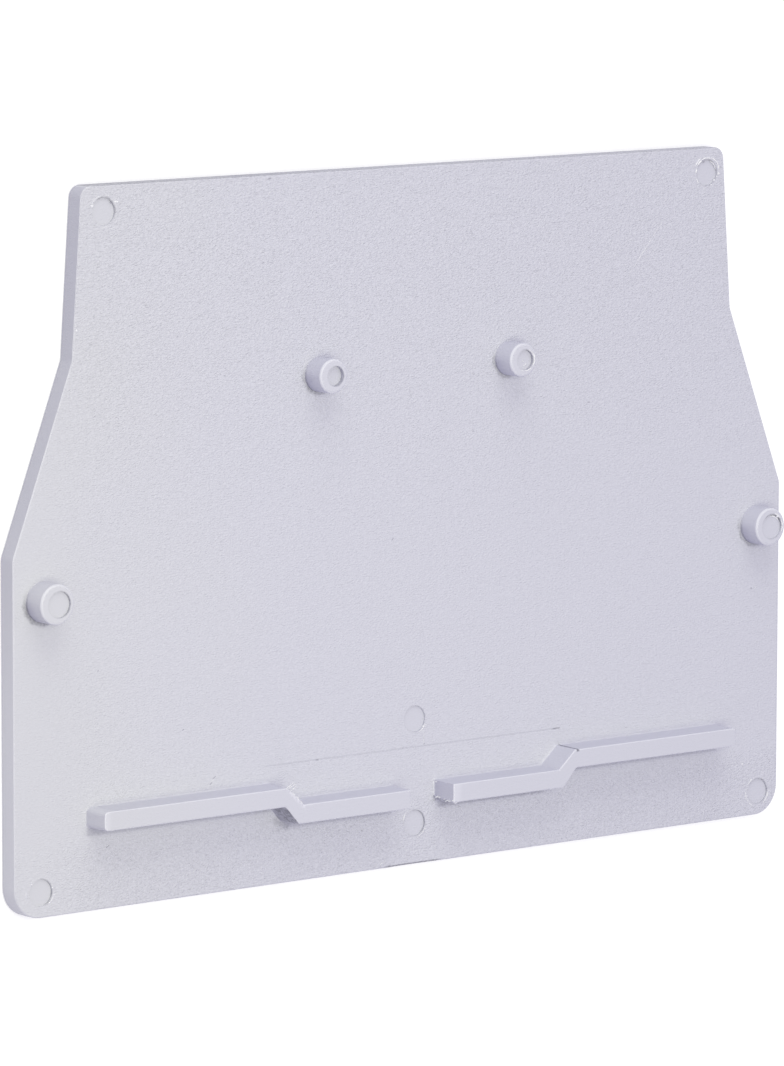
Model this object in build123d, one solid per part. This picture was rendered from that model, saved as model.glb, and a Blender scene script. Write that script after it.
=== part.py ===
from build123d import *
import math
import os

# End cover of a row of terminal blocks, moulded in one shot from grey plastic.
# It is a thin plate with a stepped, drafted rib on each side, four locating pegs
# and the marks that its mould leaves: ejector recesses, insert seams and a gate scar.
# It lies on its plain outer face at Z = 0, and the ribs and pegs stand up towards +Z.
# X runs across the width and Y up the height, with the origin at the middle of the outline.
# All sizes are in millimetres, and heights are measured up from the bottom edge.

# The half of the mould with the ejector pins and the insert sits this much to the right
core_shift = 0.1

# Plate outline, the same on both sides of the middle
plate_width = 56.0
plate_height = 40.0
plate_thickness = 1.2
top_width = 46.6
shoulder_width = 47.9
shoulder_height = 30.5
hip_height = 19.9
top_corner_radius = 0.7
bottom_corner_radius = 1.7
shoulder_radius = 0.8
hip_radius = 0.8
outer_edge_radius = 0.12
inner_edge_break = 0.06

# Locating pegs: a lower pair beside the straight sides and an upper pair near the middle
lower_peg_diameter = 2.25
upper_peg_diameter = 1.95
peg_length = 1.43
peg_tip_radius = 0.15
lower_peg_inset = 1.97
lower_peg_height = 17.47
upper_peg_spacing = 13.82
upper_peg_height = 28.65

# Recesses that the ejector pins leave in the tips of the pegs
lower_recess_diameter = 1.46
upper_recess_diameter = 1.16
lower_recess_depth = 0.10
upper_left_recess_depth = 0.25
upper_right_recess_depth = 0.15

# Ribs: each comes in from the side, steps down and goes on to the gap in the middle
rib_height = 1.75
rib_thickness = 1.13
rib_draft = 1.0
rib_top_height = 5.79
rib_step = 1.06
rib_end_inset = 4.83
rib_inner_gap = 3.1
rib_end_radius = 0.28
rib_root_radius = 0.1
crest_edge_radius = 0.07

# The jog between the runs of a rib, as distances between the two ribs along each edge
upper_jog_outer_spacing = 21.15
upper_jog_inner_spacing = 18.75
lower_jog_outer_spacing = 21.4
lower_jog_inner_spacing = 19.5
jog_radius = 0.15

# Mould insert that forms the steps of the ribs: the seam above it and up the right rib
insert_width = 21.7
insert_rise = 1.0
seam_width = 0.08
seam_depth = 0.03
rib_seam_width = 0.14
rib_seam_depth = 0.16

# Ejector marks in the plate: one in each corner and two near the middle line
mark_diameter = 1.5
mark_depth = 0.08
top_mark_inset = 1.38
top_mark_drop = 1.46
bottom_mark_inset = 1.65
bottom_mark_height = 1.4
upper_middle_mark_height = 8.4
lower_middle_mark_height = 2.38

# Scar where the gate was cut off, in the middle of the bottom edge
gate_scar_width = 4.8
gate_scar_setback = 0.12

# How far a joined piece reaches into the plate, and a cut stands out of it
overlap = 0.4


def at_height(height):
    """The Y of a height above the bottom edge."""
    return height - plate_height / 2


def both_sides(x, y):
    """A point and its mirror image, right side first."""
    return [(x, y), (-x, y)]


def rounded(face, points, radius):
    """The face with its corners at the given points rounded."""
    for x, y in points:
        corner = face.vertices().sort_by_distance((x, y, 0))[0]
        face = fillet(corner, radius)
    return face


def plate_outline():
    """The outline as a face: narrow top, sloping shoulders and straight lower sides."""
    bottom = (plate_width / 2, at_height(0))
    hip = (plate_width / 2, at_height(hip_height))
    shoulder = (shoulder_width / 2, at_height(shoulder_height))
    top = (top_width / 2, at_height(plate_height))
    right_side = [bottom, hip, shoulder, top]
    left_side = [(-x, y) for x, y in reversed(right_side)]
    outline = make_face(Polyline(*right_side, *left_side, close=True))
    outline = rounded(outline, both_sides(*bottom), bottom_corner_radius)
    outline = rounded(outline, both_sides(*hip), hip_radius)
    outline = rounded(outline, both_sides(*shoulder), shoulder_radius)
    return rounded(outline, both_sides(*top), top_corner_radius)


def plate():
    """The plate, with a rounded edge on its outer face and a crisp one on its inner face."""
    body = extrude(plate_outline(), plate_thickness)
    body = fillet(body.faces().sort_by(Axis.Z)[0].edges(), outer_edge_radius)
    return chamfer(body.faces().sort_by(Axis.Z)[-1].edges(), inner_edge_break)


def peg(x, height, diameter, recess_diameter, recess_depth):
    """A locating peg with a rounded tip and the recess that its ejector pin leaves off centre."""
    side = diameter / 2
    rim = side - peg_tip_radius
    edge_start = peg_length - peg_tip_radius
    bottom = Polyline((0, peg_length), (0, -overlap), (side, -overlap), (side, edge_start))
    edge = RadiusArc((side, edge_start), (rim, peg_length), -peg_tip_radius)
    top = Line((rim, peg_length), (0, peg_length))
    body = revolve(Plane.XZ * make_face([bottom, edge, top]), Axis.Z)
    pin = Cylinder(recess_diameter / 2, overlap, align=(Align.CENTER, Align.CENTER, Align.MIN))
    body -= Pos(core_shift, 0, peg_length - recess_depth) * pin
    return Pos(x, at_height(height), plate_thickness) * body


def pegs():
    """Both pairs of pegs, left one first in each pair."""
    lower_x = plate_width / 2 - lower_peg_inset
    upper_x = upper_peg_spacing / 2
    lower = (lower_peg_height, lower_peg_diameter, lower_recess_diameter)
    upper = (upper_peg_height, upper_peg_diameter, upper_recess_diameter)
    return [
        peg(-lower_x, *lower, lower_recess_depth),
        peg(lower_x, *lower, lower_recess_depth),
        peg(-upper_x, *upper, upper_left_recess_depth),
        peg(upper_x, *upper, upper_right_recess_depth),
    ]


def rib(jog_shift):
    """The right rib: a high outer run, a step down and a low inner run, all with draft."""
    outer_end = plate_width / 2 - rib_end_inset
    inner_end = rib_inner_gap / 2
    upper_jog_outer = upper_jog_outer_spacing / 2 + jog_shift
    upper_jog_inner = upper_jog_inner_spacing / 2 + jog_shift
    lower_jog_outer = lower_jog_outer_spacing / 2 + jog_shift
    lower_jog_inner = lower_jog_inner_spacing / 2 + jog_shift
    outer_top = at_height(rib_top_height)
    inner_top = outer_top - rib_step
    outer_corners = [(outer_end, outer_top - rib_thickness), (outer_end, outer_top)]
    upper_jog = [(upper_jog_outer, outer_top), (upper_jog_inner, inner_top)]
    inner_corners = [(inner_end, inner_top), (inner_end, inner_top - rib_thickness)]
    lower_jog = [(lower_jog_inner, inner_top - rib_thickness), (lower_jog_outer, outer_top - rib_thickness)]
    footprint = make_face(Polyline(*outer_corners, *upper_jog, *inner_corners, *lower_jog, close=True))
    footprint = rounded(footprint, outer_corners, rib_end_radius)
    footprint = rounded(footprint, upper_jog + lower_jog, jog_radius)
    foot = extrude(footprint, -overlap)
    wall = extrude(footprint, rib_height, taper=rib_draft)
    wall = fillet(wall.faces().sort_by(Axis.Z)[-1].edges(), crest_edge_radius)
    return Pos(0, 0, plate_thickness) * (foot + wall)


def rib_roots(cover):
    """The edges where the ribs stand on the plate."""
    top = at_height(rib_top_height)
    bottom = top - rib_step - rib_thickness
    roots = cover.edges().filter_by_position(Axis.Z, plate_thickness, plate_thickness)
    return roots.filter_by_position(Axis.Y, bottom, top)


def rib_seam():
    """The groove up the right rib, where the insert that forms its step ends."""
    notch = Box(rib_seam_width, 2 * rib_seam_depth, rib_height, align=(Align.MAX, Align.CENTER, Align.MIN))
    return Pos(insert_width / 2 + core_shift, at_height(rib_top_height), plate_thickness) * notch


def ejector_marks():
    """The discs that the plate's ejector pins sink into its inner face."""
    top = both_sides(top_width / 2 - top_mark_inset, at_height(plate_height - top_mark_drop))
    bottom = both_sides(plate_width / 2 - bottom_mark_inset, at_height(bottom_mark_height))
    middle = [(0, at_height(upper_middle_mark_height)), (0, at_height(lower_middle_mark_height))]
    disc = Cylinder(mark_diameter / 2, mark_depth + overlap, align=(Align.CENTER, Align.CENTER, Align.MIN))
    return [Pos(x + core_shift, y, plate_thickness - mark_depth) * disc for x, y in top + bottom + middle]


def insert_seam():
    """The fine groove in the plate along the top of the mould insert."""
    groove = Box(insert_width, seam_width, seam_depth + overlap,
                 align=(Align.CENTER, Align.CENTER, Align.MIN))
    return Pos(core_shift, at_height(rib_top_height + insert_rise), plate_thickness - seam_depth) * groove


def gate_scar():
    """A long shallow scoop along the bottom inner edge, deepest in the middle."""
    depth = gate_scar_setback / math.sqrt(2)
    radius = (gate_scar_width ** 2 / 4 + depth ** 2) / (2 * depth)
    # The scoop's axis leans back over the edge, so the cut faces down and out of the inner face
    lean = Plane(origin=(0, at_height(0), plate_thickness), x_dir=(1, 0, 0), z_dir=(0, 1, 1))
    return lean * Pos(0, depth - radius, 0) * Cylinder(radius, gate_scar_width)


def end_cover():
    """The whole moulding as one solid."""
    cover = plate() + [rib(core_shift), mirror(rib(-core_shift), Plane.YZ)]
    cover = fillet(rib_roots(cover), rib_root_radius)
    return cover + pegs() - ejector_marks() - insert_seam() - rib_seam() - gate_scar()


os.makedirs("parts", exist_ok=True)
export_step(end_cover(), "parts/end_cover.step")
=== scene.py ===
import math

import bmesh
import bpy
from mathutils import Matrix, Vector, noise


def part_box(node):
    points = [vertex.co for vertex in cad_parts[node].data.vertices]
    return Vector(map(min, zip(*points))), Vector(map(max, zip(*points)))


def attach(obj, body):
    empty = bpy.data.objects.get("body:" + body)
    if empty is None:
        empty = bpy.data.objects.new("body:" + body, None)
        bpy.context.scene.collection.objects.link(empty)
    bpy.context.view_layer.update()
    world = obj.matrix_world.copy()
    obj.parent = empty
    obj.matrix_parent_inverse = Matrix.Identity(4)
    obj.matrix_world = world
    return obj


# The looks of an end cover for a row of terminal blocks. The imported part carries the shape. This script
# adds its plastic, the thin flash and burrs that moulding leaves on it, the floor, the light and the camera.
# Places on the cover have names in small letters, and settings of the looks have names in capitals.

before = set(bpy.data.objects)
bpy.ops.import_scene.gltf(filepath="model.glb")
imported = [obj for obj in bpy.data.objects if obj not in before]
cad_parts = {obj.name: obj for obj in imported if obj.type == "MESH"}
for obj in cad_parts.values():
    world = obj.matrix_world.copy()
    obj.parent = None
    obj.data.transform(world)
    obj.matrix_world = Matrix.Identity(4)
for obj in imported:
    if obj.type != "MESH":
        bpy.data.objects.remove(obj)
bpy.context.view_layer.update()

# Sizes are written in millimetres and turned into metres here
MM = 0.001
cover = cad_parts["end_cover"]
low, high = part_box("end_cover")

# Levels of the inner face, the peg tips, the tops of the ribs and the foot of the burrs on them
face = 1.2
peg_tip = 2.63
crest = high.z / MM
under_crest = 2.86

# Where the outline's right side and top are
right_side = high.x / MM
top_side = high.y / MM

# Camera: the point it looks at on the inner face, its distance and its three angles
AIM = (-1.59, -0.76)
DISTANCE = 380.5
AZIMUTH = math.radians(38.94)
PITCH = math.radians(7.65)
ROLL = 0.00225
FOCAL_PIXELS = 6715.0
PHOTO_LONG_SIDE = 1066.0
SENSOR = 36.0

# Light: an even cool room, a near lamp high above the left side and a low one beyond the top edge.
# Each lamp has its azimuth, elevation, distance and size, and the light it gives to a face square to it
ROOM_COLOUR = (0.51, 0.49, 0.635)
LAMPS = {
    "near_lamp": (176.0, 72.0, 230.0, 138.0, (0.47, 0.48, 0.345)),
    "low_lamp": (104.0, 22.0, 500.0, 333.0, (0.29, 0.30, 0.25)),
}
# The floor: its colour, its fibres' scale, contrast and tone, how much it is lifted towards white near the
# cover and far from it, and the metres between which the lift changes
FLOOR_COLOUR = (0.80, 0.80, 0.80)
FIBRE_SCALE = 40.0
FIBRES = (0.3, 0.7)
FIBRE_TONE = 0.985
FLOOR_LIFT = 0.36
FLOOR_LIFT_FAR = 1.6 * FLOOR_LIFT
FLOOR_LIFT_REACH = (0.06, 0.45)

# Colours of the moulding and of its left side, where a warm light is painted in; of its painted shade, deep
# shade and highlights; of its thin flash, paler partly as painted highlight; and of the flecks in it
PLASTIC = (0.652, 0.652, 0.730, 1.0)
PLASTIC_WARM_LIT = (0.660, 0.662, 0.708, 1.0)
PAINTED_SHADE = (0.10, 0.09, 0.25, 1.0)
PAINTED_DEEP_SHADE = (0.10, 0.10, 0.125, 1.0)
PAINTED_HIGHLIGHT = (0.89, 0.89, 0.96, 1.0)
FLASH = (0.93, 0.93, 0.95, 1.0)
FLASH_DULL = (0.80, 0.80, 0.85, 1.0)
FLASH_SOFT = (0.80, 0.80, 0.84, 1.0)
FLASH_FAINT = (0.68, 0.68, 0.745, 1.0)
SPECK_AND_SHADE = (0.40, 0.395, 0.46, 1.0)
SPECK_AND_SHADE_EDGE = (0.53, 0.525, 0.59, 1.0)

# Places as their left, right, bottom and top: the lower wall of the left rib's step, the notch in the right
# rib and the gate scar
step_wall = (-11.1, -9.2, -16.6, -15.0)
rib_notch = (10.74, 11.03, -14.38, -14.1)
gate_scar = (-2.3, 2.2, -21.0, -19.87)

# How far to the right the plate's left wall reaches, and the left and right limits of two ends: the outer
# end of the left rib and the inner end of the right rib
left_wall_limit = -22.9
left_rib_end = (-23.5, -22.4)
right_rib_end = (1.4, 1.73)
# Painted highlights on the ends of the crests: where the left rib's ends, and where the right rib's starts
# and ends
left_crest_end = (-23.05, -22.6)
right_crest_start = (1.0, 1.1)
right_crest_end = (1.85, 2.3)

# Heights over which the looks change: the top of the painted shade at the foot of the walls, the bottom of
# the gate scar, of the painted highlights on the rims and of the painted highlight on the edge of the step
foot_height = (0.15, 0.26)
scar_height = (1.0, 1.05)
rim_height = (2.3, 2.4)
step_highlight_height = (2.6, 2.8)

# The slanting edge of the left rib's step, on its upper side, and its left and right limits
step_edge = ((-10.475, -14.21), (-9.275, -15.27))
step_edge_limits = (-10.6, -9.1)

# The torn line on the right rib's end: its Y at the crest, and how much that rises for each millimetre down
torn_at_crest = -16.37
torn_slope = 0.13

# Middles of the ejector marks and of the recesses in the pegs, as the frame has them
upper_left_mark = (-21.82, 18.54)
upper_right_mark = (22.02, 18.54)
lower_left_mark = (-26.25, -18.6)
lower_right_mark = (26.45, -18.6)
upper_middle_mark = (0.1, -11.6)
lower_middle_mark = (0.1, -17.62)
upper_left_pin = (-6.81, 8.65)
upper_right_pin = (7.01, 8.65)
lower_left_pin = (-25.93, -2.53)
lower_right_pin = (26.13, -2.53)
# Middles of the pegs, and the foot of the left rib's step
upper_left_peg = (-6.91, 8.65)
upper_right_peg = (6.91, 8.65)
lower_left_peg = (-26.03, -2.53)
lower_right_peg = (26.03, -2.53)
step_foot = (-9.45, -16.35)

# The straight runs of the ribs: their left and right ends, their lower side and how dark the painted shadow
# line along it is
rib_runs = [
    (-23.3, -10.2, -15.34, 0.14), (-9.6, -1.5, -16.40, 0.12),
    (1.7, 9.9, -16.40, 0.24), (10.6, 23.3, -15.34, 0.16),
]
# How far below that side the plate's painted shade and its painted shadow line begin, and where they are
# full
shade_reach = (0.65, 0.27)
shadow_line_reach = (0.52, 0.42)

# Painted shade in lines round the marks, the recesses and the feet of the pegs, and below the left rib's
# step. For
# each: its middle, radius and level, half its width, the way its dark side looks in degrees, and how dark it
# is there and elsewhere
shade_rings = [
    (upper_left_mark, 0.79, 1.15, 0.06, 55, 0.46, 0.0),
    (upper_right_mark, 0.78, 1.15, 0.06, 70, 0.30, 0.10),
    (lower_left_mark, 0.77, 1.15, 0.06, 15, 0.32, 0.03),
    (lower_right_mark, 0.77, 1.15, 0.06, 60, 0.28, 0.07),
    (upper_middle_mark, 0.77, 1.15, 0.055, 50, 0.17, 0.08),
    (lower_middle_mark, 0.77, 1.15, 0.06, 25, 0.32, 0.06),
    (upper_left_pin, 0.58, 2.52, 0.07, 0, 0.26, 0.06),
    (upper_right_pin, 0.60, 2.54, 0.06, 20, 0.36, 0.08),
    (lower_left_pin, 0.74, 2.58, 0.06, 10, 0.34, 0.08),
    (lower_right_pin, 0.74, 2.58, 0.08, 70, 0.46, 0.10),
    (upper_left_peg, 1.00, face, 0.26, 245, 0.36, 0.0),
    (upper_right_peg, 1.00, face, 0.24, 245, 0.34, 0.0),
    (lower_left_peg, 1.15, face, 0.30, 245, 0.46, 0.0),
    (lower_right_peg, 1.15, face, 0.26, 245, 0.34, 0.0),
    (step_foot, 0.20, face, 0.70, 225, 0.26, 0.12),
]
# How far above and below its level a line of painted shade reaches, and the scale of its wavering
ring_reach = 0.17
WAVER_SCALE = 2.4

# Lengths over which the edge of a place in the material looks sharp, and soft
SHARP = 0.01
SOFT = 0.05

# How much a surface faces up, from zero on a wall to one on the plate: where the plate's walls and the ribs'
# walls fade out, where a rounded rim begins and ends, and where a peg's tip begins
WALL_FACING = (0.1, 0.3)
RIB_WALL_FACING = (0.5, 0.9)
RIM_FACING = (0.1, 0.35)
RIM_FACING_END = (0.88, 0.97)
TIP_FACING = (0.5, 0.8)
# How much a wall faces right, from minus one to one. The step's own wall faces left, and the walls beside
# it don't
STEP_FACING = (-0.6, -0.2)
# The shady side of ribs and pegs is the side below and a little to the left: the shares of both directions,
# and the change from the other walls to that side
SHADY_LEFT = 0.37
SHADY_BELOW = 0.87
SHADY_FACING = (0.1, 0.6)

# Grain of the inner face: its depth, how it is squeezed along each axis, the scales of its creases, of its
# fine part and of its bright tops, the share of the fine part, and how strong it is off the face
GRAIN_DEPTH = 0.066
GRAIN_SQUEEZE = (0.8, 1.6, 1.0)
CREASE_SCALE = 4.2
FINE_SCALE = 9.0
TOPS_SCALE = 6.5
FINE_SHARE = 0.45
GRAIN_OFF_FACE = 0.3

# Smooth changes along an axis, each with its start and end in millimetres and the level at each of them.
# The grain grows coarser towards the top and below the ribs, and fainter towards the left
GRAIN_TO_TOP = (-6.0, 18.0, 0.95, 1.65)
GRAIN_BELOW_RIBS = (-17.0, -15.5, 0.65, 0.0)
GRAIN_TO_LEFT = (-28.0, -22.0, 0.55, 1.0)
# Painted shade along the left wall, and up the shady side of the ribs and pegs
SHADE_ALONG_LEFT = (-10.0, 6.0, 0.05, 0.22)
SHADE_UP_RIB = (face, 2.3, 0.23, 0.03)
# Painted deep shade up the step's wall, and along the wall at the top
DEEP_SHADE_UP_STEP = (face, 1.75, 0.55, 1.05)
DEEP_SHADE_ALONG_TOP = (-20.0, 20.0, 0.40, 0.28)
# Painted light along the lower part of the left wall
LIGHT_ALONG_LEFT = (-12.0, -2.0, 0.12, 0.0)

# How much the colours of painted shade, painted deep shade and painted highlight show in their places
SHADE_FOOT = 0.07
SHADE_TOP_WALL = 0.12
SHADE_RIGHT_EDGE = 0.07
SHADE_RIB_WALLS = 0.07
SHADE_BELOW_RIBS = 0.11
DEEP_SHADE_NOTCH = 0.28
DEEP_SHADE_SCAR = 0.55
DEEP_SHADE_TORN_END = 0.30
HIGHLIGHT_RIMS = 0.28
HIGHLIGHT_TIPS = 0.04
HIGHLIGHT_CREST_ENDS = 0.22
HIGHLIGHT_STEP_EDGE = 0.4
HIGHLIGHT_GRAIN = 0.13
HIGHLIGHT_GRAIN_OFF_FACE = 0.02

# Uneven places: the scale of a noise, and the part of it that counts, for some with the levels at its ends.
# They are the streaks of the step's wall, the patches of the painted deep shade, the ragged painted
# highlight on the edge of the step and the tops of the grain
STREAK_STRETCH = (2.0, 1.0, 9.0)
STREAK_SCALE = 1.3
STREAKS = (0.35, 0.65, 0.42, 0.68)
SHADE_PATCH_SCALE = 5.0
SHADE_PATCHES = (0.35, 0.65, 0.6, 1.15)
TORN_HIGHLIGHT_SCALE = 7.0
TORN_HIGHLIGHT = (0.42, 0.58)
TOPS = (0.42, 0.68)
# How ragged the torn line is, as the scale and the height of its teeth
TORN_SCALE = 4.0
TORN_HEIGHT = 0.30
# Wide patches: they shift the change to the painted warm light of the left side, and change the roughness a
# little
PATCH_SCALE = 0.11
PATCH_SHIFT = 12.0
WARM_LIGHT_CHANGE = (-22.0, -2.0)
ROUGHNESS = (0.2, 0.8, 0.50, 0.60)

# Small pieces: the scale of the change between their two tones, the part of its noise that counts for the
# tone, their roughness, and the scale, strength and depth of their grain
TONE_SCALE = 6.0
TONES = (0.35, 0.6)
SMALL_ROUGHNESS = (0.2, 0.8, 0.45, 0.6)
SMALL_GRAIN_SCALE = 18.0
SMALL_GRAIN_STRENGTH = 0.6
SMALL_GRAIN_DEPTH = 0.010

# Millimetres between the points of a ridge's line, and degrees between those of an arc
LINE_STEP = 0.05
ARC_STEP = 8


def link(obj):
    """The object, once it is in the scene."""
    bpy.context.scene.collection.objects.link(obj)
    return obj


class Nodes:
    """A material's node tree, with one short call for each node."""

    def __init__(self, name):
        self.material = bpy.data.materials.new(name)
        self.material.use_nodes = True
        self.tree = self.material.node_tree
        self.tree.nodes.clear()

    def add(self, kind, inputs=None, **settings):
        """A new node with these values or links in its inputs."""
        node = self.tree.nodes.new(kind)
        for key, value in settings.items():
            setattr(node, key, value)
        for key, value in (inputs or {}).items():
            self.fill(node.inputs[key], value)
        return node

    def fill(self, socket, value):
        """A link from another node's socket, or a plain value."""
        if isinstance(value, bpy.types.NodeSocket):
            self.tree.links.new(value, socket)
        else:
            socket.default_value = value

    def math(self, operation, a, b=0.0, c=0.0, clamp=False):
        node = self.add("ShaderNodeMath", {0: a, 1: b, 2: c}, operation=operation)
        node.use_clamp = clamp
        return node.outputs[0]

    def ramp(self, value, start, end, low=0.0, high=1.0):
        """A smooth step of the value from low at start to high at end."""
        ends = {"Value": value, "From Min": start, "From Max": end, "To Min": low, "To Max": high}
        return self.add("ShaderNodeMapRange", ends, interpolation_type="SMOOTHSTEP").outputs["Result"]

    def product(self, *factors):
        """The factors multiplied together."""
        result = factors[0]
        for factor in factors[1:]:
            result = self.math("MULTIPLY", result, factor)
        return result

    def total(self, *parts):
        """The parts added up, and at most one."""
        result = parts[0]
        for part in parts[1:]:
            result = self.math("ADD", result, part, clamp=True)
        return result

    def stretched(self, place, factors):
        """The place multiplied by its own factor along each axis."""
        return self.add("ShaderNodeVectorMath", {0: place, 1: factors}, operation="MULTIPLY").outputs[0]

    def noise(self, place, scale, detail=2.0, roughness=0.5):
        settings = {"Vector": place, "Scale": scale, "Detail": detail, "Roughness": roughness}
        return self.add("ShaderNodeTexNoise", settings).outputs["Fac"]

    def creases(self, place, scale, detail=1.0):
        """Noise folded at its middle, which leaves thin curved valleys."""
        middle = self.math("SUBTRACT", self.noise(place, scale, detail), 0.5)
        return self.math("ABSOLUTE", middle)

    def mix(self, amount, a, b):
        """Colour a changed into colour b by an amount, on the node's own sockets for colours."""
        node = self.add("ShaderNodeMix", data_type="RGBA")
        self.fill(node.inputs[0], amount)
        self.fill(node.inputs[6], a)
        self.fill(node.inputs[7], b)
        return node.outputs[2]

    def millimetres(self):
        """The place on the object, in millimetres."""
        place = self.add("ShaderNodeTexCoord").outputs["Object"]
        return self.add("ShaderNodeVectorMath", {0: place, "Scale": 1 / MM}, operation="SCALE").outputs[0]

    def inset(self, place, start, end):
        """How far inside the edge from start to end a place is."""
        along = Vector((end[0] - start[0], end[1] - start[1], 0)).normalized()
        inward = Vector((along.y, -along.x, 0))
        reach = self.add("ShaderNodeVectorMath", {0: place, 1: inward}, operation="DOT_PRODUCT")
        return self.math("SUBTRACT", reach.outputs["Value"], inward.dot(Vector((*start, 0))))

    def between(self, value, start, end, soft):
        """One between two values of an axis and zero outside them, with a soft end at each."""
        after = self.ramp(value, start, start + soft)
        return self.product(after, self.ramp(value, end - soft, end, 1.0, 0.0))

    def shade_ring(self, place, middle, radius, level, width, towards, amount, elsewhere):
        """A wavering line of painted shade round a mark or a peg, strong on one side of it and faint on the
        other.
        """
        offset = self.add("ShaderNodeVectorMath", {0: place, 1: (*middle, level)}, operation="SUBTRACT")
        parts = self.add("ShaderNodeSeparateXYZ", {0: offset.outputs[0]})
        plan = {"X": parts.outputs["X"], "Y": parts.outputs["Y"]}
        flat = self.add("ShaderNodeCombineXYZ", plan).outputs[0]
        reach = self.add("ShaderNodeVectorMath", {0: flat}, operation="LENGTH").outputs["Value"]
        waver = self.product(self.noise(place, WAVER_SCALE, 1.0), width)
        off_ring = self.math("SUBTRACT", self.math("ADD", reach, waver), radius + width / 2)
        line = self.ramp(self.math("ABSOLUTE", off_ring), width / 4, width, 1.0, 0.0)
        off_level = self.math("ABSOLUTE", parts.outputs["Z"])
        on_level = self.ramp(off_level, ring_reach - 0.02, ring_reach, 1.0, 0.0)
        angle = math.radians(towards)
        way = (math.cos(angle), math.sin(angle), 0)
        side = self.add("ShaderNodeVectorMath", {0: flat, 1: way}, operation="DOT_PRODUCT").outputs["Value"]
        strength = self.ramp(side, -0.3 * radius, 0.8 * radius, elsewhere, amount)
        return self.product(line, on_level, strength)

    def finish(self, colour, roughness, bump):
        """The material of a plastic with this colour, roughness and bump."""
        shader = self.add("ShaderNodeBsdfPrincipled", {"Base Color": colour, "Roughness": roughness,
                                                       "IOR": 1.5, "Normal": bump.outputs[0]})
        self.add("ShaderNodeOutputMaterial", {"Surface": shader.outputs[0]})
        return self.material


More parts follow.
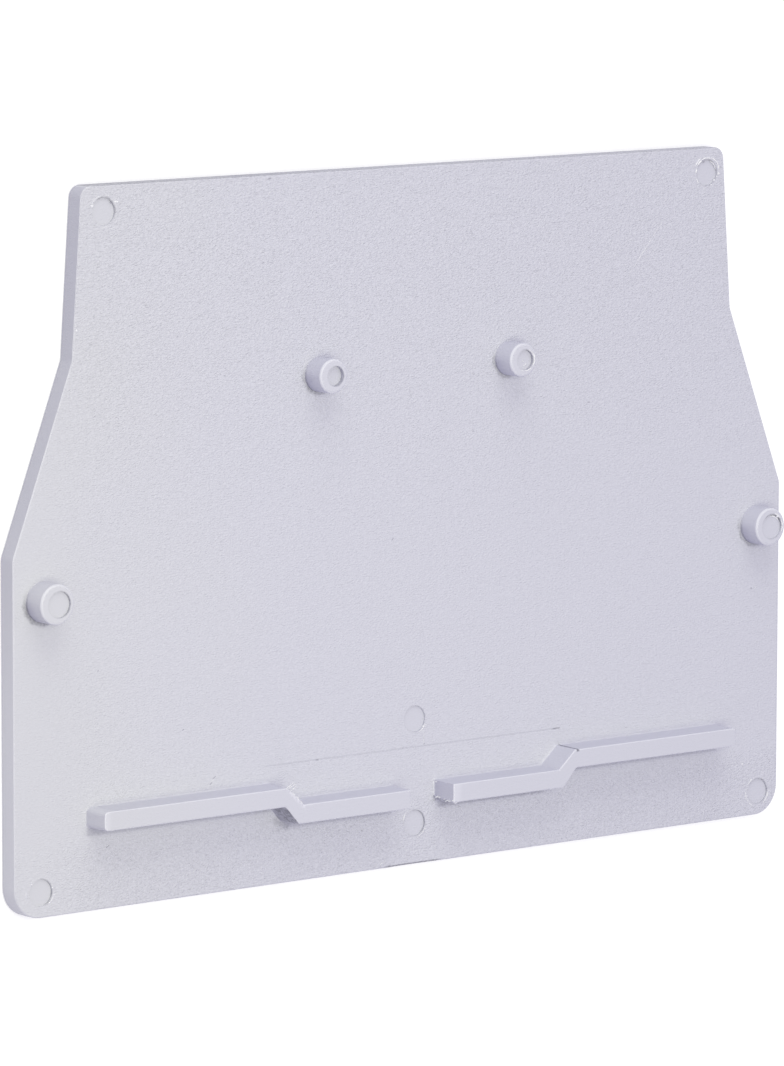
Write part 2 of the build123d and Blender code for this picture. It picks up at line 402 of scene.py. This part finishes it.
class Plastic(Nodes):
    """Grey polyamide with the fine spark-eroded grain of its mould on the inner face."""

    def __init__(self):
        super().__init__("moulded_plastic")
        self.place = self.millimetres()
        axes = self.add("ShaderNodeSeparateXYZ", {0: self.place})
        self.across = axes.outputs["X"]
        self.along = axes.outputs["Y"]
        self.height = axes.outputs["Z"]
        normal = self.add("ShaderNodeSeparateXYZ", {0: self.add("ShaderNodeNewGeometry").outputs["Normal"]})
        self.rightward = normal.outputs["X"]
        self.upward = normal.outputs["Y"]
        self.facing = self.math("ABSOLUTE", normal.outputs["Z"])

        # Off, below and above the level of the inner face, and the plate's own outer walls
        self.off_face = self.math("ABSOLUTE", self.math("SUBTRACT", self.height, face))
        self.below_face = self.ramp(self.height, face - SHARP, face, 1.0, 0.0)
        self.above_face = self.ramp(self.height, face, face + SHARP / 2)
        self.upright = self.ramp(self.facing, *WALL_FACING, 1.0, 0.0)
        at_left = self.ramp(self.across, left_wall_limit - 0.1, left_wall_limit, 1.0, 0.0)
        self.left_wall = self.product(self.upright, at_left, self.below_face)
        self.top_wall = self.ramp(self.along, top_side - SOFT, top_side - 0.02)

        # Walls of the ribs and pegs, their shady side, and the lower wall of the left rib's step
        self.rib_wall = self.product(self.ramp(self.facing, *RIB_WALL_FACING, 1.0, 0.0), self.above_face)
        self.off_left_end = self.math("SUBTRACT", 1.0, self.between(self.across, *left_rib_end, 0.3))
        left = self.product(self.rightward, -SHADY_LEFT)
        below = self.product(self.upward, -SHADY_BELOW)
        shady = self.product(self.ramp(self.math("ADD", left, below), *SHADY_FACING), self.off_left_end)
        self.shady_rib_wall = self.product(self.rib_wall, shady)
        looks_left = self.ramp(self.rightward, *STEP_FACING, 1.0, 0.0)
        self.in_step = self.product(self.region(step_wall, 0.2, 0.1), self.shady_rib_wall, looks_left)

    def region(self, limits, soft_across, soft_along):
        """One between a left, right, bottom and top limit and zero outside them, with soft edges."""
        left, right, bottom, top = limits
        across = self.between(self.across, left, right, soft_across)
        return self.product(across, self.between(self.along, bottom, top, soft_along))

    def below_rib(self, run, reach, amount):
        """The plate below one run of a rib, from nothing at the far end of the reach to the full amount."""
        left, right, edge = run
        far, near = reach
        beside = self.between(self.across, left, right, 0.4)
        on_plate = self.ramp(self.height, face, face + 0.1, 1.0, 0.0)
        under = self.ramp(self.along, edge, edge + 0.1, 1.0, 0.0)
        strength = self.ramp(self.along, edge - far, edge - near, 0.0, amount)
        return self.product(beside, on_plate, under, strength)

    def grain_level(self):
        """How strong the grain is in each place."""
        to_top = self.ramp(self.along, *GRAIN_TO_TOP)
        level = self.math("ADD", to_top, self.ramp(self.along, *GRAIN_BELOW_RIBS))
        on_face = self.ramp(self.off_face, SHARP, SOFT, 1.0, GRAIN_OFF_FACE)
        return self.product(level, on_face, self.ramp(self.across, *GRAIN_TO_LEFT))

    def grain(self, squeezed, level):
        """The bump of the grain: creases with a finer noise in them."""
        fine = self.product(self.noise(squeezed, FINE_SCALE, 1.0, 0.6), FINE_SHARE)
        height = self.product(self.math("ADD", self.creases(squeezed, CREASE_SCALE), fine), level)
        return self.add("ShaderNodeBump", {"Height": height, "Strength": 1.0, "Distance": GRAIN_DEPTH * MM})

    def dull(self):
        """Painted shade on the plate's outer walls and right edge, on walls of ribs and pegs and below the
        ribs.
        """
        right_edge = self.ramp(self.across, right_side - 0.2, right_side - 0.12)
        parts = [
            self.product(self.upright, self.ramp(self.height, *foot_height, SHADE_FOOT, 0.0)),
            self.product(self.top_wall, SHADE_TOP_WALL),
            self.product(right_edge, SHADE_RIGHT_EDGE),
            self.product(self.left_wall, self.ramp(self.along, *SHADE_ALONG_LEFT)),
            self.product(self.shady_rib_wall, self.ramp(self.height, *SHADE_UP_RIB)),
            self.product(self.upright, self.rib_wall, self.off_left_end, SHADE_RIB_WALLS),
        ]
        # Painted shade on the plate below each run of a rib
        for *run, _ in rib_runs:
            parts.append(self.below_rib(run, shade_reach, SHADE_BELOW_RIBS))
        return self.product(self.total(*parts), self.math("SUBTRACT", 1.0, self.in_step))

    def dark(self):
        """Painted deep shade: step's wall, notch, gate scar, top wall, torn end, below the ribs and round
        marks and pegs.
        """
        streaks = self.noise(self.stretched(self.place, STREAK_STRETCH), STREAK_SCALE, 2.0, 0.6)
        streaks = self.ramp(streaks, *STREAKS)
        above_seam = self.ramp(self.height, face + 0.02, face + SOFT)
        notch = self.product(self.region(rib_notch, 0.06, SHARP), above_seam)
        scar = self.product(self.region(gate_scar, 0.6, 0.04), self.ramp(self.height, *scar_height))
        parts = [
            # The lower wall of the step: its darkness is painted shade, its streaks are those of its torn
            # surface
            self.product(self.in_step, self.ramp(self.height, *DEEP_SHADE_UP_STEP), streaks),
            # Painted shade in the notch of the right rib and on the gate scar, which faces down
            self.product(notch, DEEP_SHADE_NOTCH),
            self.product(scar, DEEP_SHADE_SCAR),
            # Painted shade along the top wall
            self.product(self.top_wall, self.ramp(self.across, *DEEP_SHADE_ALONG_TOP)),
            # Painted shadow below the ragged edge on the right rib's end
            self.product(self.torn_end(), DEEP_SHADE_TORN_END),
        ]
        # A narrow line of painted shadow on the plate just below each run of a rib
        for *run, shade_line in rib_runs:
            parts.append(self.below_rib(run, shadow_line_reach, shade_line))
        # Lines of painted shade round the marks, the recesses, the feet of the pegs and the foot of the step
        for ring in shade_rings:
            parts.append(self.shade_ring(self.place, *ring))
        # Patches that make all the painted deep shade uneven
        uneven = self.ramp(self.noise(self.place, SHADE_PATCH_SCALE, 2.0, 0.6), *SHADE_PATCHES)
        return self.math("MULTIPLY", self.total(*parts), uneven, clamp=True)

    def torn_end(self):
        """Painted shadow on the end of the right rib, below a ragged slanting line."""
        ragged = self.product(self.math("SUBTRACT", self.noise(self.place, TORN_SCALE), 0.5), TORN_HEIGHT)
        line = self.math("MULTIPLY_ADD", self.height, -torn_slope, torn_at_crest + torn_slope * crest)
        under_line = self.math("SUBTRACT", self.math("ADD", line, ragged), self.along)
        on_end = self.between(self.across, *right_rib_end, 0.02)
        return self.product(on_end, self.ramp(under_line, 0.0, SOFT), self.above_face)

    def highlights(self):
        """Painted highlights: rims, peg tips, ends of crests, the left wall and the edge of the left step.
        """
        rounded = self.ramp(self.facing, *RIM_FACING)
        rounded = self.product(rounded, self.ramp(self.facing, *RIM_FACING_END, 1.0, 0.0))
        off_roots = self.math("MAXIMUM", self.below_face, self.ramp(self.height, *rim_height))
        on_tip = self.between(self.height, peg_tip - 0.06, peg_tip + 0.06, 0.03)
        on_crest = self.ramp(self.height, crest - 0.06, crest - 0.03)
        left_rib = self.ramp(self.across, *left_crest_end, 1.0, 0.0)
        right_rib = self.ramp(self.across, *right_crest_start)
        right_rib = self.product(right_rib, self.ramp(self.across, *right_crest_end, 1.0, 0.0))
        beside_step = self.ramp(self.inset(self.place, *step_edge), 0.10, 0.30, 1.0, 0.0)
        beside_step = self.product(beside_step, self.between(self.across, *step_edge_limits, 0.2))
        torn = self.ramp(self.noise(self.place, TORN_HIGHLIGHT_SCALE, 2.0, 0.7), *TORN_HIGHLIGHT)
        return self.total(
            self.product(rounded, off_roots, HIGHLIGHT_RIMS),
            self.product(on_tip, self.ramp(self.facing, *TIP_FACING), HIGHLIGHT_TIPS),
            self.product(on_crest, self.math("ADD", left_rib, right_rib), HIGHLIGHT_CREST_ENDS),
            self.product(self.left_wall, self.ramp(self.along, *LIGHT_ALONG_LEFT)),
            # A painted highlight along the edge of the step, ragged where the edge is torn
            self.product(beside_step, self.ramp(self.height, *step_highlight_height), torn, HIGHLIGHT_STEP_EDGE),
        )

    def grain_tops(self, squeezed, level):
        """The tops of the grain, which catch a little more light than its valleys."""
        tops = self.ramp(self.noise(squeezed, TOPS_SCALE, 1.0, 0.6), *TOPS)
        on_face = self.ramp(self.off_face, SHARP, SOFT, HIGHLIGHT_GRAIN, HIGHLIGHT_GRAIN_OFF_FACE)
        return self.product(tops, level, on_face)

    def make(self):
        """The finished material, with a painted warm light towards its left side."""
        squeezed = self.stretched(self.place, GRAIN_SQUEEZE)
        level = self.grain_level()
        patches = self.noise(self.place, PATCH_SCALE, 1.0)
        shifted = self.math("ADD", self.across, self.product(patches, PATCH_SHIFT))
        # Painted warm light towards the left side, then painted highlights, painted shade and painted deep
        # shade over it
        colour = self.mix(self.ramp(shifted, *WARM_LIGHT_CHANGE), PLASTIC_WARM_LIT, PLASTIC)
        colour = self.mix(self.total(self.highlights(), self.grain_tops(squeezed, level)), colour, PAINTED_HIGHLIGHT)
        colour = self.mix(self.dull(), colour, PAINTED_SHADE)
        colour = self.mix(self.dark(), colour, PAINTED_DEEP_SHADE)
        roughness = self.ramp(patches, *ROUGHNESS)
        return self.finish(colour, roughness, self.grain(squeezed, level))


def small_material(name, dull, bright):
    """A material for the small pieces: two tones that change along them, with a little grain."""
    n = Nodes(name)
    place = n.millimetres()
    change = n.noise(place, TONE_SCALE, 2.0, 0.6)
    grain = n.noise(place, SMALL_GRAIN_SCALE, 1.0)
    colour = n.mix(n.ramp(change, *TONES), dull, bright)
    bump = n.add("ShaderNodeBump", {"Height": grain, "Strength": SMALL_GRAIN_STRENGTH,
                                    "Distance": SMALL_GRAIN_DEPTH * MM})
    return n.finish(colour, n.ramp(change, *SMALL_ROUGHNESS), bump)


def floor_material():
    """A pale sheet that shows white to the camera and keeps the object's shadow."""
    n = Nodes("pale_sheet")
    place = n.add("ShaderNodeTexCoord").outputs["Object"]
    fibres = n.noise(place, FIBRE_SCALE, 3.0, 0.6)
    darker = tuple(part * FIBRE_TONE for part in FLOOR_COLOUR) + (1.0,)
    colour = n.mix(n.ramp(fibres, *FIBRES), darker, FLOOR_COLOUR + (1.0,))
    matte = n.add("ShaderNodeBsdfDiffuse", {"Color": colour})
    rays = n.add("ShaderNodeLightPath")
    seen = n.math("ADD", rays.outputs["Is Camera Ray"], rays.outputs["Is Glossy Ray"], clamp=True)
    seen = n.math("ADD", seen, rays.outputs["Is Transmission Ray"], clamp=True)
    # Far from the cover, where the lamps reach less, the sheet is lifted more
    reach = n.add("ShaderNodeVectorMath", {0: place}, operation="LENGTH").outputs["Value"]
    lift = n.ramp(reach, *FLOOR_LIFT_REACH, FLOOR_LIFT, FLOOR_LIFT_FAR)
    glow = n.add("ShaderNodeEmission", {"Color": (1, 1, 1, 1), "Strength": n.math("MULTIPLY", seen, lift)})
    both = n.add("ShaderNodeAddShader", {0: matte.outputs[0], 1: glow.outputs[0]})
    n.add("ShaderNodeOutputMaterial", {"Surface": both.outputs[0]})
    return n.material


def wander(along, seed):
    """Smooth noise between -1 and 1 for a place along a piece, the same on every run."""
    return noise.noise(Vector((along, seed * 7.31, seed * 1.93)))


class Piece:
    """A small piece of the moulding, built up from closed shapes in one mesh."""

    def __init__(self, name, material):
        self.name = name
        self.material = material
        self.mesh = bmesh.new()

    def ridge(self, path, width, height, seed, up=(0, 0, 1), ragged=0.5, ends=(0.12, 0.12), sink=0.05):
        """A ragged ridge along a path of points, sunk into what carries it and thin at its ends."""
        points = resample([Vector(p) for p in path])
        up = Vector(up).normalized()
        last = len(points) - 1
        rings = []
        for i, point in enumerate(points):
            t = i / last
            ahead = (points[min(i + 1, last)] - points[max(i - 1, 0)]).normalized()
            across = ahead.cross(up).normalized()
            body = min(1.0, ends[0] + 4 * t * (1 - ends[0]), ends[1] + 4 * (1 - t) * (1 - ends[1]))
            place = i * LINE_STEP
            tall = height * body * (1 + ragged * wander(place * 5.0, seed))
            wide = width * body * (1 + 0.6 * ragged * wander(place * 4.0, seed + 11))
            lean = 0.3 * width * ragged * wander(place * 3.0, seed + 23)
            shoulder = 0.62 * tall
            section = [(-0.5, -sink), (-0.3, shoulder), (0.0, tall), (0.3, shoulder), (0.5, -sink)]
            ring = []
            for side, rise in section:
                shift = lean if rise > 0 else 0.0
                ring.append(self.mesh.verts.new((point + across * (side * wide + shift) + up * rise) * MM))
            rings.append(ring)
        self.skin(rings)

    def skin(self, rings):
        """Faces between the rings, and one at each end."""
        count = len(rings[0])
        for near, far in zip(rings, rings[1:]):
            for k in range(count):
                j = (k + 1) % count
                self.mesh.faces.new((near[k], near[j], far[j], far[k]))
        self.mesh.faces.new(rings[0][::-1])
        self.mesh.faces.new(rings[-1])

    def blob(self, centre, size, seed, turn=0.0):
        """An uneven lump of the given length, width and height, half sunk."""
        made = bmesh.ops.create_icosphere(self.mesh, subdivisions=3, radius=1.0)
        spin = Matrix.Rotation(math.radians(turn), 3, "Z")
        for vert in made["verts"]:
            uneven = 1 + 0.22 * noise.noise(vert.co * 1.7 + Vector((seed * 3.7, seed, 0)))
            lump = Vector((vert.co.x * size[0] / 2, vert.co.y * size[1] / 2, vert.co.z * size[2]))
            vert.co = (Vector(centre) + spin @ (lump * uneven)) * MM

    def finish(self):
        """The mesh as a smooth object that rides on the cover."""
        bmesh.ops.recalc_face_normals(self.mesh, faces=self.mesh.faces)
        data = bpy.data.meshes.new(self.name)
        self.mesh.to_mesh(data)
        self.mesh.free()
        data.materials.append(self.material)
        for polygon in data.polygons:
            polygon.use_smooth = True
        piece = link(bpy.data.objects.new(self.name, data))
        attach(piece, "root")


def resample(points):
    """The same line with a point about every step."""
    line = [points[0]]
    for start, end in zip(points, points[1:]):
        count = max(1, round((end - start).length / LINE_STEP))
        for k in range(1, count + 1):
            line.append(start.lerp(end, k / count))
    return line


def arc(centre, radius, start, end, level):
    """Points round a centre from the start angle to the end angle, in degrees."""
    count = max(3, int(abs(end - start) / ARC_STEP))
    points = []
    for k in range(count + 1):
        angle = math.radians(start + (end - start) * k / count)
        points.append((centre[0] + radius * math.cos(angle), centre[1] + radius * math.sin(angle), level))
    return points


def mark_flash(bright, soft):
    """Thin flash round the ejector marks, each with the pieces that its own ring has."""
    # Material and centre, then for each ridge its radius, start and end angles, width and height
    rings = {
        "flash_upper_left_mark": (soft, upper_left_mark, [
            (0.90, 158, 98, 0.11, 0.010), (0.92, 84, 56, 0.07, 0.04), (0.95, 44, 14, 0.07, 0.03),
            (0.86, -98, -64, 0.08, 0.015)]),
        "flash_upper_right_mark": (bright, upper_right_mark, [
            (0.87, 118, 62, 0.11, 0.07), (0.94, 70, 4, 0.10, 0.06), (0.70, 72, 14, 0.09, 0.05),
            (1.00, 154, 122, 0.10, 0.05), (0.85, 150, 116, 0.10, 0.06), (0.84, 182, 160, 0.11, 0.04),
            (0.86, 222, 200, 0.08, 0.02)]),
        "flash_lower_left_mark": (soft, lower_left_mark, [
            (0.86, 150, 130, 0.09, 0.05), (0.88, -10, -50, 0.10, 0.03), (0.98, 196, 170, 0.16, 0.02)]),
        "flash_lower_right_mark": (soft, lower_right_mark, [
            (0.86, 146, 122, 0.09, 0.04), (0.88, 2, -62, 0.16, 0.03), (0.92, 250, 165, 0.12, 0.012)]),
        "flash_upper_middle_mark": (soft, upper_middle_mark, [(0.86, -20, -70, 0.10, 0.010)]),
        "flash_lower_middle_mark": (soft, lower_middle_mark, [
            (0.87, 168, 138, 0.12, 0.05), (0.86, -20, -76, 0.10, 0.02)]),
    }
    for seed, (name, (material, centre, ridges)) in enumerate(rings.items(), 1):
        piece = Piece(name, material)
        for k, (radius, start, end, width, height) in enumerate(ridges):
            piece.ridge(arc(centre, radius, start, end, face), width, height, seed + 31 * k)
        piece.finish()


def flash_beads(material):
    """Single beads and dots of flash beside the marks and on the plate."""
    # Place, then length, width, height and turn
    beads = [
        ((22.93, 18.46, face), (0.16, 0.12, 0.07), 20), ((22.58, 18.09, face), (0.13, 0.09, 0.05), 60),
        ((22.35, 17.81, face), (0.10, 0.08, 0.04), 0), ((22.78, 18.27, face), (0.10, 0.08, 0.04), 0),
        ((-26.87, -18.06, face), (0.12, 0.08, 0.05), 50), ((-25.46, -18.41, face), (0.08, 0.08, 0.04), 0),
        ((-25.35, -18.82, face), (0.09, 0.08, 0.04), 0), ((-25.69, -19.22, face), (0.12, 0.08, 0.04), 30),
        ((25.92, -17.88, face), (0.15, 0.09, 0.06), 40), ((25.21, -16.84, face), (0.10, 0.10, 0.05), 0),
        ((-23.68, 12.15, face - 0.02), (0.10, 0.16, 0.05), 0), ((0.72, -12.10, face), (0.06, 0.16, 0.03), 0),
        ((-20.95, 19.05, face), (0.30, 0.10, 0.04), -12), ((-22.60, 18.90, face), (0.20, 0.12, 0.03), 0),
    ]
    piece = Piece("flash_beads", material)
    for seed, (centre, size, turn) in enumerate(beads):
        piece.blob(centre, size, seed, turn)
    piece.finish()


def peg_burrs(bright, soft):
    """Ragged burrs round the recesses in the tips of the two right pegs."""
    piece = Piece("burr_upper_right_peg", bright)
    piece.ridge(arc(upper_right_pin, 0.62, 66, 18, peg_tip), 0.09, 0.10, 3)
    piece.ridge(arc(upper_right_pin, 0.68, 30, -34, peg_tip), 0.10, 0.07, 5)
    piece.ridge(arc(upper_right_pin, 0.63, -40, -118, peg_tip), 0.06, 0.03, 8)
    piece.finish()
    piece = Piece("lumps_upper_right_peg", soft)
    for seed, (x, y) in enumerate([(6.97, 8.58), (7.17, 8.37), (7.02, 8.30)]):
        piece.blob((x, y, peg_tip - 0.15), (0.14, 0.11, 0.03), seed, 40)
    piece.finish()
    piece = Piece("burr_lower_right_peg", bright)
    piece.ridge(arc(lower_right_pin, 0.79, 78, 36, peg_tip), 0.11, 0.07, 4)
    piece.ridge(arc(lower_right_pin, 0.63, 98, 24, peg_tip - 0.08), 0.11, 0.06, 6)
    piece.ridge(arc(lower_right_pin, 0.80, 30, -24, peg_tip), 0.09, 0.07, 9)
    piece.blob((26.56, -1.92, peg_tip), (0.20, 0.16, 0.09), 2, 30)
    piece.finish()


def rib_burrs(bright, soft):
    """Torn edges on the right rib's inner end, on its corner and at the left rib's step."""
    piece = Piece("burr_right_rib_end", soft)
    # The torn line slants from the rib's foot up to the crest's corner, and teeth stick out to the left
    line = [(1.63, -16.14, face), (1.64, -16.19, 1.7), (1.65, -16.26, 2.3), (1.68, -16.33, 2.85)]
    piece.ridge(line, 0.10, 0.05, 2, up=(-1, 0.3, 0), ragged=1.3)
    teeth = 7
    line_foot = -16.14
    line_slant = 0.17
    line_rise = 1.6
    tooth_root = 1.66
    tooth_start = 1.60
    for seed in range(teeth):
        share = (seed + 0.5 + 0.8 * wander(seed * 2.3, 9)) / teeth
        y = line_foot - line_slant * share
        z = face + line_rise * share
        length = 0.13 + 0.30 * wander(seed * 1.37, 5)
        lift = 0.12 * wander(seed * 1.9, 7)
        width = 0.08 + 0.05 * wander(seed * 2.7, 3)
        tooth = [(tooth_root, y, z), (tooth_start - length, y - 0.05, z + lift)]
        piece.ridge(tooth, width, 0.05, seed + 5, ends=(1.0, 0.4), ragged=0.9)
    # Low lumps on the end face, closer together towards the corner
    lumps = [(-15.98, 1.62), (-16.05, 1.86), (-15.90, 2.08), (-16.06, 2.26), (-15.96, 2.50), (-16.14, 2.62)]
    for seed, (y, z) in enumerate(lumps):
        piece.blob((1.59, y, z), (0.03, 0.10, 0.05), seed)
    piece.blob((1.57, -15.36, 1.34), (0.08, 0.12, 0.12), 3)
    piece.finish()

    piece = Piece("drip_right_rib", soft)
    path = [(1.50, -16.26), (1.66, -16.32), (1.80, -16.34), (2.14, -16.30)]
    path = [(x, y, under_crest) for x, y in path]
    piece.ridge(path, 0.16, 0.08, 1, up=(0, -1, -0.1), ragged=0.1, ends=(0.05, 0.05))
    piece.blob((1.78, -16.38, 2.83), (0.24, 0.18, 0.09), 4)
    piece.finish()

    piece = Piece("slivers_left_rib", bright)
    slivers = [((-10.55, -14.30), (-10.01, -13.98)), ((-10.36, -14.30), (-9.87, -14.07)),
               ((-10.20, -14.44), (-9.78, -14.19))]
    for seed, (start, end) in enumerate(slivers):
        path = [(*start, under_crest), (*end, under_crest + 0.02)]
        piece.ridge(path, 0.055, 0.035, seed + 3, ragged=0.3, ends=(1.0, 0.1), sink=0.02)
    piece.finish()

    piece = Piece("burr_left_rib_step", soft)
    edge = [(-10.42, -14.27), (-10.05, -14.58), (-9.66, -14.93), (-9.30, -15.25)]
    edge = [(x, y, under_crest) for x, y in edge]
    piece.ridge(edge, 0.10, 0.05, 6, up=(1, 1, 0.2), ragged=1.0)
    piece.finish()


def plate_hairs(material):
    """Fine raised scratches and hairs on the plate."""
    # Two ends, width and height
    hairs = [
        ((15.99, 12.86), (18.89, 16.20), 0.05, 0.008), ((-2.45, -19.80), (-2.15, -19.62), 0.06, 0.02),
        ((-2.20, -19.72), (-1.98, -19.52), 0.05, 0.02), ((0.78, -12.25), (0.80, -13.20), 0.05, 0.012),
        ((-14.55, -13.68), (-14.28, -13.56), 0.06, 0.02), ((-21.85, -16.52), (-21.60, -16.38), 0.05, 0.02),
        ((26.08, -6.45), (26.10, -6.20), 0.06, 0.03),
    ]
    piece = Piece("plate_hairs", material)
    for seed, (start, end, width, height) in enumerate(hairs):
        piece.ridge([(*start, face), (*end, face)], width, height, seed)
    piece.finish()


def specks_and_seam_shade(material):
    """Dark flecks in the plastic and a dash of painted shade at the seam's end, level with the face or a
    hair above it.
    """
    # Place, length, width and turn
    spots = [
        ((-1.54, -1.10), 0.20, 0.09, 35), ((-10.39, 19.79), 0.28, 0.09, 12),
        ((-10.84, 15.13), 0.20, 0.06, 10), ((13.03, 5.68), 0.22, 0.06, 0),
        ((-22.30, -6.68), 0.14, 0.06, 60), ((-14.29, -13.46), 0.28, 0.06, 32),
        ((-14.52, -13.78), 0.24, 0.05, 38), ((-21.69, -16.53), 0.28, 0.06, 28),
        ((-16.47, -10.55), 0.16, 0.05, 30), ((-6.98, -13.22), 0.20, 0.08, -20),
        ((25.80, -6.33), 0.12, 0.14, 0), ((16.06, -13.70), 0.22, 0.05, 5),
        # The long dash at (10.70, -13.22) is painted shade: a dark sheet where the seam ends in a thin
        # groove
        ((-21.32, 19.00), 0.12, 0.06, -35), ((10.70, -13.22), 0.50, 0.05, 0),
        ((21.79, 19.18), 0.12, 0.08, 20), ((0.78, -12.77), 0.08, 0.06, 0),
        ((0.80, -13.10), 0.10, 0.08, 0),
    ]
    piece = Piece("specks_and_seam_shade", material)
    speck_height = 0.010
    for seed, ((x, y), length, width, turn) in enumerate(spots):
        piece.blob((x, y, face), (length, width, speck_height), seed, turn)
    piece.finish()


def floor():
    """The sheet that the cover lies on, a hair below it."""
    size = 3.0
    gap = 0.02 * MM
    level = low.z - gap
    mesh = bpy.data.meshes.new("floor")
    corners = [(-size, -size), (size, -size), (size, size), (-size, size)]
    mesh.from_pydata([(x, y, level) for x, y in corners], [], [(0, 1, 2, 3)])
    mesh.materials.append(floor_material())
    link(bpy.data.objects.new("floor", mesh))


def room():
    """Even light from all round, white where the camera sees past the floor."""
    world = bpy.data.worlds.new("room")
    bpy.context.scene.world = world
    world.use_nodes = True
    tree = world.node_tree
    tree.nodes.clear()
    even = tree.nodes.new("ShaderNodeBackground")
    even.inputs["Color"].default_value = ROOM_COLOUR + (1.0,)
    even.inputs["Strength"].default_value = 1.0
    white = tree.nodes.new("ShaderNodeBackground")
    white.inputs["Color"].default_value = (1, 1, 1, 1)
    white.inputs["Strength"].default_value = 1.0
    rays = tree.nodes.new("ShaderNodeLightPath")
    pick = tree.nodes.new("ShaderNodeMixShader")
    out = tree.nodes.new("ShaderNodeOutputWorld")
    tree.links.new(rays.outputs["Is Camera Ray"], pick.inputs[0])
    tree.links.new(even.outputs[0], pick.inputs[1])
    tree.links.new(white.outputs[0], pick.inputs[2])
    tree.links.new(pick.outputs[0], out.inputs[0])


def lamp(name, azimuth, elevation, distance, size, level):
    """A large soft lamp that gives a face square to it the light of the given level."""
    around = math.radians(azimuth)
    above = math.radians(elevation)
    reach = math.cos(above)
    direction = Vector((math.cos(around) * reach, math.sin(around) * reach, math.sin(above)))
    distance *= MM
    strongest = max(level)
    data = bpy.data.lights.new(name, "AREA")
    data.shape = "SQUARE"
    data.size = size * MM
    data.energy = strongest * math.pi ** 2 * distance ** 2
    data.color = tuple(part / strongest for part in level)
    obj = link(bpy.data.objects.new(name, data))
    obj.location = direction * distance
    obj.rotation_euler = direction.to_track_quat("Z", "Y").to_euler()
    obj.visible_camera = False


def camera():
    """The photograph's view: it looks down past the cover's left side."""
    level = math.cos(PITCH)
    view = Vector((math.sin(AZIMUTH) * level, -math.sin(PITCH), -math.cos(AZIMUTH) * level))
    right = Vector((math.cos(AZIMUTH), 0.0, math.sin(AZIMUTH)))
    up = right.cross(view)
    rolled_right = right * math.cos(ROLL) + up * math.sin(ROLL)
    rolled_up = up * math.cos(ROLL) - right * math.sin(ROLL)
    aim = Vector((AIM[0], AIM[1], face)) * MM
    data = bpy.data.cameras.new("camera")
    data.sensor_fit = "AUTO"
    data.sensor_width = SENSOR
    data.lens = FOCAL_PIXELS * SENSOR / PHOTO_LONG_SIDE
    data.clip_start = 0.01
    data.clip_end = 20.0
    obj = link(bpy.data.objects.new("camera", data))
    turn = Matrix((rolled_right, rolled_up, -view)).transposed()
    obj.matrix_world = Matrix.Translation(aim - view * DISTANCE * MM) @ turn.to_4x4()
    bpy.context.scene.camera = obj


cover.data.materials.clear()
cover.data.materials.append(Plastic().make())
# The flash is paler than the plastic, partly its own thin tone and partly painted highlight; flash is a
# brighter copy of soft_flash, used where the flash is to look more brightly lit
flash = small_material("flash", FLASH_DULL, FLASH)
soft_flash = small_material("soft_flash", FLASH_FAINT, FLASH_SOFT)
mark_flash(flash, soft_flash)
flash_beads(flash)
peg_burrs(flash, soft_flash)
rib_burrs(flash, soft_flash)
plate_hairs(soft_flash)
specks_and_seam_shade(small_material("specks_and_seam_shade", SPECK_AND_SHADE_EDGE, SPECK_AND_SHADE))
floor()
room()
for name, settings in LAMPS.items():
    lamp(name, *settings)
camera()
bpy.context.scene.view_settings.view_transform = "Standard"
